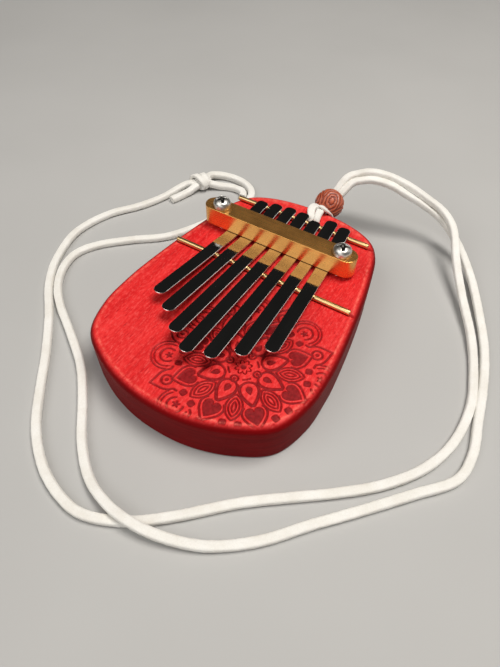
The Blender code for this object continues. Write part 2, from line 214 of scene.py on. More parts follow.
# ---- materials -----------------------------------------------------------
class Look:
    """A Principled material with short helpers for its nodes."""

    def __init__(self, name, **sockets):
        self.m = bpy.data.materials.new(name)
        self.m.use_nodes = True
        self.t = self.m.node_tree
        self.b = self.t.nodes["Principled BSDF"]
        for k, v in sockets.items():
            s = self.b.inputs[k.replace("_", " ")]
            s.default_value = (*v, 1.0) if isinstance(v, tuple) and len(v) == 3 else v
        self.co = self.t.nodes.new("ShaderNodeTexCoord").outputs["Object"]

    def link(self, out, socket):
        self.t.links.new(out, self.b.inputs[socket] if isinstance(socket, str) else socket)

    def noise(self, scale, detail=4.0, rough=0.6, distort=0.0):
        mp = self.t.nodes.new("ShaderNodeMapping")
        mp.inputs["Scale"].default_value = scale if isinstance(scale, tuple) else (scale,) * 3
        self.t.links.new(self.co, mp.inputs["Vector"])
        n = self.t.nodes.new("ShaderNodeTexNoise")
        n.inputs["Scale"].default_value = 1.0
        n.inputs["Detail"].default_value = detail
        n.inputs["Roughness"].default_value = rough
        n.inputs["Distortion"].default_value = distort
        self.t.links.new(mp.outputs["Vector"], n.inputs["Vector"])
        return n.outputs["Fac"]

    def attr(self, name):
        a = self.t.nodes.new("ShaderNodeAttribute")
        a.attribute_name = name
        return a.outputs["Fac"]

    def ramp(self, fac, *stops):
        r = self.t.nodes.new("ShaderNodeValToRGB")
        e = r.color_ramp.elements
        while len(e) < len(stops):
            e.new(0.5)
        for el, (p, c) in zip(e, stops):
            el.position = p
            el.color = (*c, 1.0) if isinstance(c, tuple) else (c, c, c, 1.0)
        self.t.links.new(fac, r.inputs["Fac"])
        return r.outputs["Color"]

    def mix(self, fac, a, b, how="MIX"):
        n = self.t.nodes.new("ShaderNodeMix")
        n.data_type = "RGBA"
        n.blend_type = how
        n.clamp_factor = True
        for sock, v in ((n.inputs["Factor"], fac), (n.inputs[6], a), (n.inputs[7], b)):
            if isinstance(v, tuple):
                sock.default_value = (*v, 1.0)
            elif isinstance(v, (int, float)):
                sock.default_value = v
            else:
                self.t.links.new(v, sock)
        return n.outputs[2]

    def math(self, op, a, b):
        n = self.t.nodes.new("ShaderNodeMath")
        n.operation = op
        for sock, v in zip(n.inputs, (a, b)):
            if isinstance(v, (int, float)):
                sock.default_value = v
            else:
                self.t.links.new(v, sock)
        return n.outputs[0]

    def bump(self, height, strength, distance):
        n = self.t.nodes.new("ShaderNodeBump")
        n.inputs["Strength"].default_value = strength
        n.inputs["Distance"].default_value = distance
        self.t.links.new(height, n.inputs["Height"])
        self.link(n.outputs["Normal"], "Normal")


def red_wood():
    k = Look("red_stained_wood", IOR=1.45)
    fibre = k.noise((1500, 75, 1500), 6, 0.7)
    streak = k.noise((260, 10, 260), 4, 0.6, 0.6)
    pore = k.noise((2400, 260, 2400), 3, 0.6)
    cloud = k.noise((42, 30, 42), 3, 0.5)
    fleck_and_sheen = k.noise((1300, 560, 1300), 4, 0.7)
    grain = k.math("ADD", k.math("MULTIPLY", fibre, 0.5), k.math("MULTIPLY", streak, 0.5))
    col = k.ramp(grain, (0.36, (0.52, 0.008, 0.010)), (0.50, (0.68, 0.018, 0.019)), (0.64, (0.79, 0.036, 0.036)))
    col = k.mix(k.ramp(cloud, (0.38, 0.0), (0.68, 0.40)), col, (0.83, 0.050, 0.047))
    # pale specks: painted sheen on the fibres; the dark specks below are the wood's own
    col = k.mix(k.ramp(fleck_and_sheen, (0.50, 0.0), (0.68, 0.55)), col, (0.89, 0.115, 0.105))
    col = k.mix(k.ramp(fleck_and_sheen, (0.32, 0.50), (0.46, 0.0)), col, (0.52, 0.006, 0.010))
    col = k.mix(k.ramp(pore, (0.30, 0.70), (0.42, 0.0)), col, (0.34, 0.004, 0.008))
    # engraved ground, scorched a little darker
    burn = k.ramp(k.noise((900, 900, 900), 3, 0.6), (0.3, (0.130, 0.002, 0.004)), (0.7, (0.270, 0.009, 0.012)))
    col = k.mix(k.math("MULTIPLY", k.attr("engrave"), 0.94), col, burn)
    # the sides and the back darker: thicker stain there, and painted shade of the walls
    side = k.mix(k.ramp(k.noise((60, 60, 900), 4, 0.6), (0.3, 0.0), (0.7, 1.0)), (0.135, 0.0012, 0.0022), (0.215, 0.0026, 0.0040))
    col = k.mix(k.attr("side"), col, side)
    # edges paler: rubbed wear and a painted highlight along the top edge
    wear_and_highlight = k.math("MULTIPLY", k.attr("edge"), k.ramp(k.noise((420, 420, 420), 4, 0.7), (0.42, 0.05), (0.64, 0.75)))
    col = k.mix(wear_and_highlight, col, (0.90, 0.19, 0.14))
    k.link(col, "Base Color")
    k.link(k.ramp(fibre, (0.3, 0.52), (0.7, 0.40)), "Roughness")
    k.link(k.math("SUBTRACT", 0.18, k.math("MULTIPLY", k.attr("side"), 0.14)), "Specular IOR Level")
    k.bump(k.math("ADD", k.math("ADD", fibre, k.math("MULTIPLY", pore, 0.6)), k.math("MULTIPLY", fleck_and_sheen, 0.8)), 0.38, 0.00014)
    return k.m


def brass(name, base, low, high, brushed, metal=1.0):
    k = Look(name, Metallic=metal)
    blot = k.noise((130, 130, 130), 4, 0.6)
    line = k.noise(brushed, 3, 0.6)
    col = k.ramp(blot, (0.32, tuple(c * 0.80 for c in base)), (0.62, base))
    col = k.mix(k.ramp(k.noise((1500, 1500, 1500), 2, 0.5), (0.27, 0.35), (0.36, 0.0)), col, tuple(c * 0.45 for c in base))
    k.link(col, "Base Color")
    k.link(k.ramp(k.math("ADD", k.math("MULTIPLY", blot, 0.5), k.math("MULTIPLY", line, 0.5)),
                  (0.35, low), (0.65, high)), "Roughness")
    k.bump(line, 0.06, 0.00005)
    return k.m


def steel(name, base, low, high, specks, wave=0.0, recess_shade=False):
    k = Look(name, Metallic=1.0)
    blot = k.noise((240, 60, 240), 4, 0.6)
    dust = k.noise((1900, 1900, 1900), 3, 0.7)
    col = k.ramp(blot, (0.3, tuple(c * 0.86 for c in base)), (0.7, base))
    col = k.mix(k.ramp(dust, (0.68, 0.0), (0.78, specks)), col, (0.62, 0.60, 0.56))
    if recess_shade:
        # painted shade: the cross recess is darkened in the colour
        col = k.mix(k.attr("recess"), col, (0.045, 0.042, 0.039))
    k.link(col, "Base Color")
    k.link(k.ramp(k.math("ADD", k.math("MULTIPLY", blot, 0.85), k.math("MULTIPLY", dust, 0.15)),
                  (0.35, low), (0.68, high)), "Roughness")
    if wave:
        k.bump(k.noise((60, 900, 60), 3, 0.6), wave, 0.00005)
    return k.m


def bead_wood():
    k = Look("carved_bead_wood", IOR=1.5)
    g = k.noise((420, 420, 420), 5, 0.65)
    col = k.ramp(g, (0.3, (0.36, 0.062, 0.026)), (0.52, (0.50, 0.110, 0.048)), (0.74, (0.60, 0.170, 0.080)))
    col = k.mix(k.attr("groove"), col, (0.135, 0.014, 0.007))
    k.link(col, "Base Color")
    k.link(k.ramp(g, (0.3, 0.42), (0.7, 0.30)), "Roughness")
    k.bump(g, 0.2, 0.0001)
    return k.m


def suede():
    k = Look("white_suede", Roughness=0.95, Sheen_Weight=0.35, Sheen_Roughness=0.6, Sheen_Tint=(1.0, 0.97, 0.92))
    nap = k.noise((2600, 2600, 2600), 5, 0.75)
    tone = k.noise((150, 150, 150), 4, 0.6)
    col = k.ramp(tone, (0.30, (0.80, 0.775, 0.72)), (0.55, (0.87, 0.855, 0.815)), (0.75, (0.90, 0.89, 0.86)))
    col = k.mix(k.ramp(nap, (0.30, 0.30), (0.55, 0.0)), col, (0.62, 0.59, 0.54))
    k.link(col, "Base Color")
    k.bump(nap, 0.55, 0.00025)
    return k.m


WOOD = red_wood()
BAR_BRASS = brass("polished_brass", (0.92, 0.45, 0.125), 0.23, 0.31, (30, 2500, 2500), 0.89)
ROD_BRASS = brass("brass_rod", (0.80, 0.54, 0.25), 0.26, 0.36, (30, 2500, 2500))
TINE_FACE = steel("polished_spring_steel", (0.46, 0.455, 0.44), 0.085, 0.12, 0.5)
TINE_EDGE = steel("cut_steel_edge", (0.86, 0.84, 0.80), 0.20, 0.32, 0.1, 0.04)
NICKEL = steel("nickel_plate", (0.80, 0.78, 0.74), 0.34, 0.40, 0.2, 0.0, True)
BEAD_LOOK = bead_wood()
SUEDE = suede()


# ---- engraved rosette ----------------------------------------------------
def arc(cx, radius, a0, a1, n):
    a = np.radians(np.linspace(a0, a1, n))
    return np.stack([cx + radius * np.cos(a), radius * np.sin(a)], 1)


def mirrored(half, closed=True):
    """Half outline (v >= 0, from the outer tip) with its mirror image."""
    h = np.asarray(half, float)
    back = h[::-1] * (1, -1)
    return np.vstack([back, h[1:]]) if closed is False else np.vstack([h, back[1:] if abs(h[-1, 1]) < 1e-9 else back])


def drop(cx, a, b, n=44):
    """Teardrop, pointed away from the middle."""
    th = np.linspace(0, 2 * math.pi, n)
    return np.stack([cx + a * np.cos(th), b * np.sin(th) * np.abs(np.sin(th / 2))], 1)


def leaf(c, h, d, n=17):
    """Leaf with two points, as two arcs."""
    R = (h * h + d * d) / (2 * d)
    a = math.asin(h / R)
    t = np.linspace(-a, a, n)
    up = np.stack([c + R * np.sin(t), R * np.cos(t) - (R - d)], 1)
    return np.vstack([up, up[::-1] * (1, -1)])


def stroke(u, v, line, width):
    """Depth 0..1 of a cut line of the given width along a polyline."""
    best = np.full(u.shape, 9.0)
    for (ax, ay), (bx, by) in zip(line[:-1], line[1:]):
        dx, dy = bx - ax, by - ay
        q = dx * dx + dy * dy
        if q < 1e-9:
            continue
        t = np.clip(((u - ax) * dx + (v - ay) * dy) / q, 0, 1)
        best = np.minimum(best, (u - ax - t * dx) ** 2 + (v - ay - t * dy) ** 2)
    return 1 - smoothstep(width / 2 - 0.13, width / 2 + 0.15, np.sqrt(best))


def pocket(u, v, line):
    """Depth 0..1 of a cleared pocket inside a closed polyline."""
    inside = np.zeros(u.shape, bool)
    for (ax, ay), (bx, by) in zip(line, np.roll(line, -1, 0)):
        if abs(by - ay) < 1e-12:
            continue
        hit = (ay > v) != (by > v)
        inside ^= hit & (u < (bx - ax) * (v - ay) / (by - ay) + ax)
    return np.maximum(inside * 1.0, stroke(u, v, np.vstack([line, line[:1]]), 0.1))


def rosette(x, y):
    """Cut depth 0..1 of the eight-fold rosette at points of the top."""
    out = np.zeros(x.shape)
    dx, dy = x - ROSE[0], y - ROSE[1]
    r = np.hypot(dx, dy)
    ang = np.arctan2(dy, dx) - ROSE_TURN
    step = math.pi / 4
    kh = np.round(ang / step)
    ah = ang - kh * step
    al = (ang % step) - step / 2
    odd = np.abs(kh.astype(int)) % 2 == 1

    def add(kind, axis, r0, r1, line, width=0.5, only=None):
        a = ah if axis == "heart" else al
        use = (r > r0) & (r < r1)
        if only is not None:
            use &= only
        i = np.nonzero(use)[0]
        if not len(i):
            return
        u, v = r[i] * np.cos(a[i]), r[i] * np.sin(a[i])
        d = stroke(u, v, line, width) if kind == "line" else pocket(u, v, line)
        out[i] = np.maximum(out[i], d)

    ring = lambda c, rad, n=25: arc(c, rad, 0, 360, n)
    # middle: boss, scalloped ring, eyes and dashes
    i = np.nonzero(r < 4)[0]
    lobe = 1.62 + 0.92 * np.abs(np.cos(4 * ang[i]))
    out[i] = np.maximum(out[i], 1 - smoothstep(0.62, 0.98, r[i]))
    out[i] = np.maximum(out[i], 1 - smoothstep(0.10, 0.34, np.abs(r[i] - lobe)))
    add("line", "heart", 3, 7, ring(4.83, 1.12), 0.52, ~odd)
    add("pocket", "heart", 3, 7, ring(4.83, 0.40, 13), 0.4, ~odd)
    add("line", "heart", 3, 6, arc(0, 4.55, -13, 13, 9), 0.5, odd)
    # petals
    add("line", "heart", 4.6, 15, drop(9.62, 4.0, 3.5), 0.62)
    add("line", "heart", 4.6, 15, drop(9.75, 4.25, 3.7)[3:18], 0.75)
    add("line", "heart", 4.6, 15, drop(9.75, 4.25, 3.7)[26:41], 0.75)
    add("pocket", "heart", 6, 11, drop(8.5, 1.35, 1.15, 26))
    # leaves with two inner lines
    for h, d, w in ((4.25, 2.45, 0.50), (3.05, 1.55, 0.46)):
        add("line", "leaf", 8.5, 20, leaf(14.0, h, d), w)
    add("line", "leaf", 8.5, 20, leaf(14.0, 1.75, 0.62, 9), 0.42)
    # hearts in their pointed frames
    heart = mirrored(catmull([(19.9, 0), (19.3, 0.6), (18.4, 1.45), (17.4, 2.2), (16.3, 2.68), (15.2, 2.6),
                              (14.5, 2.0), (14.25, 1.2), (14.4, 0.6), (14.7, 0.28), (15.6, 0.0)], 4))
    add("pocket", "heart", 13.5, 21, heart[:-1])
    frame_line = catmull([(21.4, 0), (20.3, 1.08), (19.1, 2.2), (17.7, 3.18), (16.2, 3.62),
                          (14.9, 3.4), (14.0, 2.75)], 4)
    add("line", "heart", 13, 22.5, mirrored(frame_line, False), 0.58)
    # pairs of studs between the frames
    for s in (-1, 1):
        th = np.radians(np.linspace(0, 345, 24))
        box = np.stack([np.sign(np.cos(th)) * np.abs(np.cos(th)) ** 0.55, np.sign(np.sin(th)) * np.abs(np.sin(th)) ** 0.55], 1)
        add("pocket", "leaf", 17, 21.8, (19.28, s * 2.2) + box * (1.0, 0.98))
    # pointed arches with an eye
    arch = catmull([(27.7, 0), (26.0, 1.45), (24.8, 2.5), (23.5, 3.25), (22.3, 3.5), (21.3, 3.55), (20.5, 4.35)], 4)
    add("line", "heart", 19, 29.5, mirrored(arch, False), 0.62)
    add("line", "heart", 19, 27, arc(22.8, 1.62, -155, 155, 25), 0.62)
    add("pocket", "heart", 19, 27, ring(22.8, 0.52, 13)[:-1])
    # round scallops with a small flower
    add("line", "leaf", 19, 30, arc(23.3, 5.15, -98, 98, 29), 0.50)
    add("line", "leaf", 19, 30, arc(23.3, 4.15, -112, 112, 29), 0.46)
    add("line", "leaf", 19, 28, arc(23.2, 2.45, -128, 128, 21), 0.60)
    th = np.linspace(0, 2 * math.pi, 61)[:-1]
    pet = 0.78 + 0.42 * np.cos(5 * th)
    add("pocket", "leaf", 19, 27, np.stack([22.9 + pet * np.cos(th), pet * np.sin(th)], 1))
    # the outermost cuts run out shallow
    return out * (1 - 0.25 * smoothstep(25, 29, r))


# ---- board ---------------------------------------------------------------
def make_board():
    (x1, y1), (x2, y2) = HALF_OUTLINE[1], HALF_OUTLINE[-2]
    half = catmull([(-x1, y1)] + HALF_OUTLINE + [(-x2, y2)], 60)[60:-60]
    right, _ = even(half, n=700)
    P = np.vstack([right, (right * (-1, 1))[::-1][1:-1]])
    tan = np.roll(P, -3, 0) - np.roll(P, 3, 0)
    nrm = np.stack([-tan[:, 1], tan[:, 0]], 1)
    nrm /= np.linalg.norm(nrm, axis=1)[:, None]
    Q = P - nrm * TOP_ROUND
    # read the inset outline by its angle about the rosette's middle
    th = np.arctan2(Q[:, 1] - ROSE[1], Q[:, 0] - ROSE[0])
    order = np.argsort(th)
    th, Qs, ns = th[order], Q[order], nrm[order]
    th3 = np.concatenate([th - 2 * math.pi, th, th + 2 * math.pi])
    Q3, n3 = np.vstack([Qs] * 3), np.vstack([ns] * 3)
    N = 1000
    ta = np.linspace(-math.pi, math.pi, N, endpoint=False)
    Qj = np.stack([np.interp(ta, th3, Q3[:, c]) for c in (0, 1)], 1)
    nj = np.stack([np.interp(ta, th3, n3[:, c]) for c in (0, 1)], 1)
    nj /= np.linalg.norm(nj, axis=1)[:, None]
    B = np.linalg.norm(Qj - ROSE, axis=1)
    dirs = (Qj - ROSE) / B[:, None]
    M1, M2 = 122, 26
    fine = np.minimum(30.0, B * M1 / (M1 + 6.0))
    rows = []
    for k in range(1, M1 + 1):
        rows.append(ROSE + dirs * (fine * k / M1)[:, None])
    for k in range(1, M2 + 1):
        rows.append(ROSE + dirs * (fine + (B - fine) * k / M2)[:, None])
    flat = np.vstack(rows)
    cut = rosette(flat[:, 0], flat[:, 1])
    top = np.column_stack([flat, BOARD_T - ROSE_DEPTH * cut])
    parts = [np.array([[ROSE[0], ROSE[1], BOARD_T - ROSE_DEPTH]]), top]
    S = 14
    edge_rows = []
    for k in range(1, S + 1):
        f = math.pi / 2 * k / S
        xy = Qj + nj * TOP_ROUND * math.sin(f)
        c = rosette(xy[:, 0], xy[:, 1]) * (1 - smoothstep(0.3, 1.9, TOP_ROUND * f)) * ROSE_DEPTH
        xy = xy - nj * (math.sin(f) * c)[:, None]
        edge_rows.append(np.column_stack([xy, BOARD_T - TOP_ROUND * (1 - math.cos(f)) - math.cos(f) * c]))
    outer = Qj + nj * TOP_ROUND
    for z in (12.4, 10.2, 7.5, 4.8, 2.4, 1.4, BACK_ROUND):
        edge_rows.append(np.column_stack([outer, np.full(N, z)]))
    for k in range(1, 6):
        f = math.pi / 2 * k / 5
        edge_rows.append(np.column_stack([outer - nj * BACK_ROUND * (1 - math.cos(f)),
                                          np.full(N, BACK_ROUND * (1 - math.sin(f)))]))
    for q in (0.9, 0.6, 0.3):
        xy = (outer - nj * BACK_ROUND) * q
        edge_rows.append(np.column_stack([xy, np.zeros(N)]))
    parts += edge_rows
    verts = np.vstack(parts)
    total = M1 + M2 + len(edge_rows)
    last = 1 + (total - 1) * N
    verts = np.vstack([verts, [[0, 0, 0]]])
    faces = [(0, 1 + j, 1 + (j + 1) % N) for j in range(N)]
    faces += ring_faces(total, N, 1)
    end = len(verts) - 1
    faces += [(last + j, end, last + (j + 1) % N) for j in range(N)]
    ob = put("board_finish", verts, faces, [WOOD], None, None)

    cutters = []
    for tag, rod in (("front", FRONT_ROD), ("rear", REAR_ROD)):
        cutters.append(cylinder(tag + "_groove", (-60, rod[0], ROD_Z), (60, rod[0], ROD_Z), ROD_D / 2 + 0.3, 40))
    run = HOLE_REAR - HOLE_TOP
    cutters.append(cylinder("lace_hole", laid(HOLE_TOP - run), laid(HOLE_REAR + run), HOLE_R, 56))
    for sx, sy in SCREWS:
        cutters.append(cylinder("pilot", (sx, sy, BOARD_T - SCREW_DEPTH - 0.6), (sx, sy, BOARD_T + 2),
                                SHANK_D / 2 + 0.3, 28))
    carve(ob, cutters)
    me = ob.data
    n = len(me.vertices)
    co = np.empty(n * 3, np.float32)
    me.vertices.foreach_get("co", co)
    co = co.reshape(-1, 3).astype(float) / MM
    d = co[:, :2] - ROSE
    a = np.arctan2(d[:, 1], d[:, 0])
    order3 = np.concatenate([ta - 2 * math.pi, ta, ta + 2 * math.pi])
    Bi = np.interp(a, order3, np.tile(B, 3))
    slant = np.interp(a, order3, np.tile(np.abs((dirs * nj).sum(1)), 3))
    inward = (Bi - np.hypot(d[:, 0], d[:, 1])) * slant      # + inside the flat, mm
    on_top = co[:, 2] > BOARD_T - TOP_ROUND - 0.2
    e = np.zeros(n)
    idx = np.nonzero(on_top & (np.hypot(d[:, 0], d[:, 1]) < 31))[0]
    e[idx] = rosette(co[idx, 0], co[idx, 1]) * (1 - smoothstep(0.3, 1.9, -inward[idx] * 1.2))
    # side: rounding and walls darkened, thicker stain and painted shade
    side = np.where(on_top, smoothstep(0.30, 2.0, -inward), 1.0)
    # pale band where the rounding starts: rubbed wear and painted edge highlight
    rub_and_highlight = np.where(on_top, np.exp(-((inward + 0.10) / 0.36) ** 2), 0.0)
    point_values(ob, "engrave", e)
    point_values(ob, "side", side)
    point_values(ob, "edge", rub_and_highlight)
    me.shade_smooth()
    me.set_sharp_from_angle(angle=math.radians(58))
    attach(ob, "base")
    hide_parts("board")
    return ob


# ---- bar, rods, screws ---------------------------------------------------
def make_bar():
    """Flat bar with round ends, softened edges and two screw holes."""
    end, straight = BAR_D / 2, BAR_L / 2 - BAR_D / 2
    a = np.radians(np.linspace(-90, 90, 41))
    ends = np.stack([straight + end * np.cos(a), end * np.sin(a)], 1)
    mid = np.linspace(1, -1, 31)[1:-1]
    top_run = np.stack([straight * mid, np.full(len(mid), end)], 1)
    plan = np.vstack([ends, top_run, -ends, -top_run])
    nx = np.where(np.abs(plan[:, 0]) > straight, plan[:, 0] - np.sign(plan[:, 0]) * straight, 0)
    nrm = np.stack([nx, plan[:, 1]], 1)
    nrm /= np.linalg.norm(nrm, axis=1)[:, None]
    n = len(plan)
    rd, keep = 0.19, 0.07
    rows = []
    for z0, sgn in ((BAR_LOW, -1), (BAR_TOP, 1)):
        # rows just inside the flat faces hold their shading flat
        arc_rows = [(-keep, 0.0)] + [(rd * math.sin(f), rd * (1 - math.cos(f))) for f in np.linspace(0, math.pi / 2, 7)] \
            + [(rd, rd + keep)]
        for out, down in (arc_rows if sgn < 0 else arc_rows[::-1]):
            rows.append(np.column_stack([plan - nrm * (rd - out), np.full(n, z0 - sgn * down)]))
    verts = np.vstack(rows) + (BAR_X, BAR_Y, 0)
    faces = [tuple(reversed(q)) for q in ring_faces(len(rows), n)]
    faces.append(tuple(range(n - 1, -1, -1)))
    faces.append(tuple(range((len(rows) - 1) * n, len(rows) * n)))
    ob = put("pressure_bar_finish", verts, faces, [BAR_BRASS], None, None)
    carve(ob, [cylinder("bar_hole", (sx, sy, BAR_LOW - 2), (sx, sy, BAR_TOP + 2), SHANK_D / 2 + 0.35, 40)
               for sx, sy in SCREWS])
    ob.data.shade_smooth()
    ob.data.set_sharp_from_angle(angle=math.radians(50))
    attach(ob, "base")
    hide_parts("pressure_bar")


def lathe(profile, n):
    """Rings of a turned profile (radius, height)."""
    a = np.linspace(0, 2 * math.pi, n, endpoint=False)
    return np.vstack([np.column_stack([r * np.cos(a), r * np.sin(a), np.full(n, z)]) for r, z in profile])


def make_rod(node, rod):
    r, n = ROD_D / 2, 40
    a = np.array((rod[1], rod[0], ROD_Z))
    b = np.array((rod[2], rod[0], ROD_Z))
    L = np.linalg.norm(b - a)
    prof = [(r * 0.45, 0.0)] + [(r - 0.28 * (1 - math.sin(f)), 0.28 * (1 - math.cos(f))) for f in np.linspace(0, math.pi / 2, 6)]
    prof += [(r, z) for z in np.linspace(0.28, L - 0.28, 24)[1:-1]]
    prof += [(q, L - z) for q, z in reversed(prof[:7])]
    v = lathe(prof, n)
    ex = (b - a) / L
    ey = np.array((0, 0, 1.0))
    ez = np.cross(ex, ey)
    world = a + v[:, 2:3] * ex + v[:, 0:1] * ey + v[:, 1:2] * ez
    faces = ring_faces(len(prof), n)
    faces.append(tuple(range(n)))
    faces.append(tuple(range(len(prof) * n - 1, (len(prof) - 1) * n - 1, -1)))
    ob = put(node + "_finish", world, faces, [ROD_BRASS], None, 50)
    tidy(ob)
    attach(ob, "base")
    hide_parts(node)


def tidy(ob):
    bm = bmesh.new()
    bm.from_mesh(ob.data)
    bmesh.ops.recalc_face_normals(bm, faces=bm.faces)
    bm.to_mesh(ob.data)
    bm.free()


def make_screw(node, place, turn):
    """Pan head with a pressed cross recess, on its threaded shank."""
    n, rim, R = 128, 1.0, HEAD_D / 2
    crown = HEAD_H - rim
    a = np.linspace(0, 2 * math.pi, n, endpoint=False)
    rows, recess_shade = [], []
    radii = np.concatenate([np.linspace(0.06, 2.3, 44), np.linspace(2.36, R, 16)])
    for rr in radii:
        z = rim + crown * math.sqrt(max(0.0, 1 - (rr / R) ** 2.3)) if rr < R else rim
        x, y = rr * np.cos(a), rr * np.sin(a)
        c, s = math.cos(math.radians(turn)), math.sin(math.radians(turn))
        p, q = np.abs(c * x + s * y), np.abs(-s * x + c * y)
        big, small = np.maximum(p, q), np.minimum(p, q)
        arm = np.maximum(big - 2.05, small - (0.58 - 0.05 * big))
        core = np.hypot(x, y) - 0.98
        depth = 1.15 * (1 - smoothstep(-0.16, 0.10, np.minimum(arm, core))) * (0.55 + 0.45 * (1 - smoothstep(0.4, 1.8, big)))
        rows.append(np.column_stack([x, y, z - depth]))
        recess_shade.append(np.clip(depth / 0.6, 0, 1))
    for q in np.linspace(0, 1, 5)[1:]:
        f = q * math.pi / 2
        rows.append(np.column_stack([(R) * np.cos(a), R * np.sin(a), np.full(n, rim - (rim - 0.18) * q)]))
    for f in np.linspace(0, math.pi / 2, 5)[1:]:
        rr = R - 0.18 * (1 - math.cos(f))
        rows.append(np.column_stack([rr * np.cos(a), rr * np.sin(a), np.full(n, 0.18 * (1 - math.sin(f)))]))
    low = -(BAR_TOP + CLEAR - (BOARD_T - SCREW_DEPTH))
    shank = [(SHANK_D / 2, 0.0), (SHANK_D / 2, -7.6)]
    z = -7.6
    while z > low + 2.6:
        shank += [(SHANK_D / 2 - 0.38, z - 0.30), (SHANK_D / 2, z - 0.62)]
        z -= 0.62
    shank += [(SHANK_D / 2 - 0.3, low + 1.9), (0.25, low + 0.05)]
    for rr, zz in shank:
        rows.append(np.column_stack([rr * np.cos(a), rr * np.sin(a), np.full(n, zz)]))
    verts = np.vstack(rows + [np.array([[0, 0, rows[0][0, 2]], [0, 0, low]])])
    verts = verts + (*place, BAR_TOP + CLEAR)
    faces = ring_faces(len(rows), n)
    c0, c1 = len(verts) - 2, len(verts) - 1
    faces += [(c0, j, (j + 1) % n) for j in range(n)]
    o = (len(rows) - 1) * n
    faces += [(o + j, c1, o + (j + 1) % n) for j in range(n)]
    ob = put(node + "_finish", verts, faces, [NICKEL], None, 80)
    tidy(ob)
    recess_shade = np.concatenate(recess_shade)
    # the recess mask carries the painted shade of the cross recess
    point_values(ob, "recess", np.concatenate([recess_shade, np.zeros(len(verts) - len(recess_shade) - 2), [1, 0]]))
    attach(ob, "base")
    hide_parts(node)


# ---- tines ---------------------------------------------------------------
REST_Z = ROD_Z + ROD_D / 2 + CLEAR
UNDER_BAR = BAR_LOW - CLEAR - TINE_T


def make_tine(i):
    turn = math.radians(TINE_TURN[i])
    along = np.array((math.sin(turn), math.cos(turn)))
    across = np.array((along[1], -along[0]))
    root = np.array((-0.92 + PITCH * (i - 3), BAR_Y))

    def reach(rod):
        return (rod[0] - root[1]) / along[1]

    s_f, s_r = reach(FRONT_ROD), reach(REAR_ROD)
    s_tip, s_end = s_f - FREE_LENGTH[i], s_r + OVERHANG[i]
    up = math.tan(math.radians(5.0))

    def raw(s):
        rise = REST_Z - UNDER_BAR
        key = REST_Z + up * np.maximum(0, s_f - s)
        front = UNDER_BAR + rise * smoothstep(0, 1, (-s - 3.2) / (-s_f - 3.2))
        rear = UNDER_BAR + rise * smoothstep(0, 1, (s - 3.2) / (s_r - 3.2))
        return np.where(s < s_f, key, np.where(s < 0, front, rear)) + TINE_T / 2

    def height(s):
        """Middle of the strip, eased over the bend on the rod."""
        return np.mean([raw(s + d) for d in np.linspace(-1.6, 1.6, 9)], axis=0)

    # plan outline: distance from the tip and half width
    R1, R2, hw = 2.15, 1.8, TINE_W / 2
    tip = [(R1 * (1 - math.cos(f)), hw - R1 + R1 * math.sin(f)) for f in np.linspace(0, math.pi / 2, 12)]
    L = s_end - s_tip
    tail = [(L - R2 * (1 - math.cos(f)), hw - R2 + R2 * math.sin(f)) for f in np.linspace(math.pi / 2, 0, 12)]
    mid = [(d, hw) for d in np.linspace(R1, L - R2, 90)[1:-1]]
    plan = np.array(tip + mid + tail)
    tan = np.gradient(plan, axis=0)
    nrm = np.stack([-tan[:, 1], tan[:, 0]], 1)      # outward for the +v side
    nrm /= np.linalg.norm(nrm, axis=1)[:, None]
    nrm[0], nrm[-1] = (-1, 0), (1, 0)
    t = TINE_T / 2
    rings = ((0.08, -t), (0.0, -t + 0.08), (0.0, t - 0.10), (0.10, t))
    verts, n, rows = [], len(plan), len(rings)
    for sgn in (1, -1):
        for inset, dz in rings:
            p = plan - nrm * inset
            s = s_tip + p[:, 0]
            xy = root + np.outer(s, along) + np.outer(sgn * np.maximum(p[:, 1], 0.02), across)
            verts.append(np.column_stack([xy, height(s) + dz]))
    verts = np.vstack(verts)
    at = lambda sgn, k, j: (0 if sgn > 0 else rows * n) + k * n + j
    faces, kind = [], []
    for k in range(rows - 1):
        for j in range(n - 1):
            faces.append((at(1, k, j), at(1, k, j + 1), at(1, k + 1, j + 1), at(1, k + 1, j)))
            faces.append((at(-1, k, j), at(-1, k + 1, j), at(-1, k + 1, j + 1), at(-1, k, j + 1)))
            kind += [1, 1]
        faces.append((at(1, k, 0), at(1, k + 1, 0), at(-1, k + 1, 0), at(-1, k, 0)))
        faces.append((at(1, k, n - 1), at(-1, k, n - 1), at(-1, k + 1, n - 1), at(1, k + 1, n - 1)))
        kind += [1, 1]
    for j in range(n - 1):
        faces.append((at(1, rows - 1, j), at(1, rows - 1, j + 1), at(-1, rows - 1, j + 1), at(-1, rows - 1, j)))
        faces.append((at(1, 0, j), at(-1, 0, j), at(-1, 0, j + 1), at(1, 0, j + 1)))
        kind += [0, 0]
    ob = put("tine_%d_finish" % (i + 1), verts, faces, [TINE_FACE, TINE_EDGE], kind, 25)
    tidy(ob)
    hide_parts("tine_%d_clamped" % (i + 1), "tine_%d_key" % (i + 1))
    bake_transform(ob)


# ---- bead ----------------------------------------------------------------
BEAD_SPIN = 0.47


def frame_of(axis):
    z = np.asarray(axis, float) / np.linalg.norm(axis)
    x = np.cross((0, 0, 1.0), z)
    x /= np.linalg.norm(x)
    return x, np.cross(z, x), z


